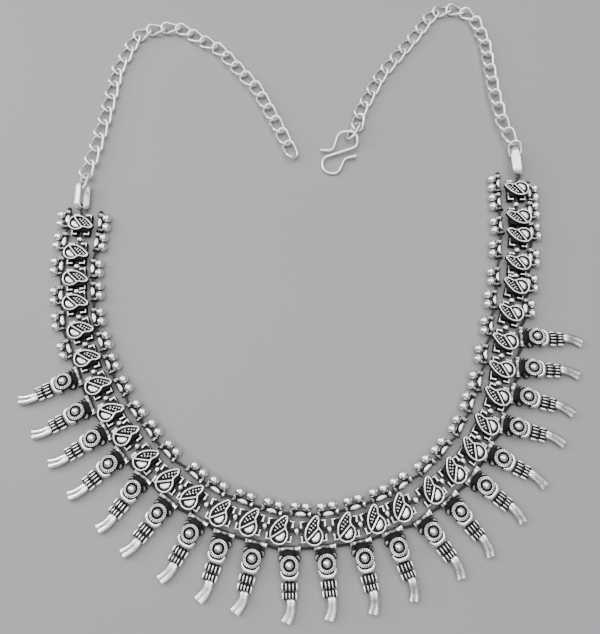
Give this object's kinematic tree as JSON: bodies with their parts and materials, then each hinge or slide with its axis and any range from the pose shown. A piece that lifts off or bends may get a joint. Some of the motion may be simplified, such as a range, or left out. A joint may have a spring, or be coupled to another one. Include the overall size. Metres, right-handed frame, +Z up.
{
  "type": "choker",
  "caption": "Fringe collar of cast paisley plaques between rows of ball pairs, with ribbed drops, end bails, curb chains and an S-hook, lying open.",
  "frame": {"origin": "centre of the bounding box in X and Y, on the surface that the necklace lies on", "axes": "+X to the wearer's left end with the hook, +Y away from the fringe towards the chains, +Z up out of the face"},
  "size_m": [0.1826, 0.2228, 0.006],
  "materials": {
    "oxidised_metal": "cast white metal, polished high points, black oxide in the recesses",
    "bright_metal": "polished white metal wire and band with light wear",
    "thread": "black twisted cotton"
  },
  "bodies": {
    "root": {"plaques_left": "oxidised_metal", "plaques_right": "oxidised_metal", "spacer_beads": "oxidised_metal", "inner_ball_pairs_left": "oxidised_metal", "inner_ball_pairs_right": "oxidised_metal", "outer_ball_pairs_left": "oxidised_metal", "outer_ball_pairs_right": "oxidised_metal", "drop_01": "oxidised_metal", "drop_02": "oxidised_metal", "drop_03": "oxidised_metal", "drop_04": "oxidised_metal", "drop_05": "oxidised_metal", "drop_06": "oxidised_metal", "drop_07": "oxidised_metal", "drop_08": "oxidised_metal", "drop_09": "oxidised_metal", "drop_10": "oxidised_metal", "drop_11": "oxidised_metal", "drop_12": "oxidised_metal", "drop_13": "oxidised_metal", "drop_14": "oxidised_metal", "drop_15": "oxidised_metal", "drop_16": "oxidised_metal", "drop_17": "oxidised_metal", "drop_18": "oxidised_metal", "drop_19": "oxidised_metal", "drop_20": "oxidised_metal", "drop_21": "oxidised_metal", "bail_left": "bright_metal", "bail_right": "bright_metal", "chain_left": "bright_metal", "chain_right": "bright_metal", "s_hook": "bright_metal", "threads": "thread"}
  },
  "joints": []
}
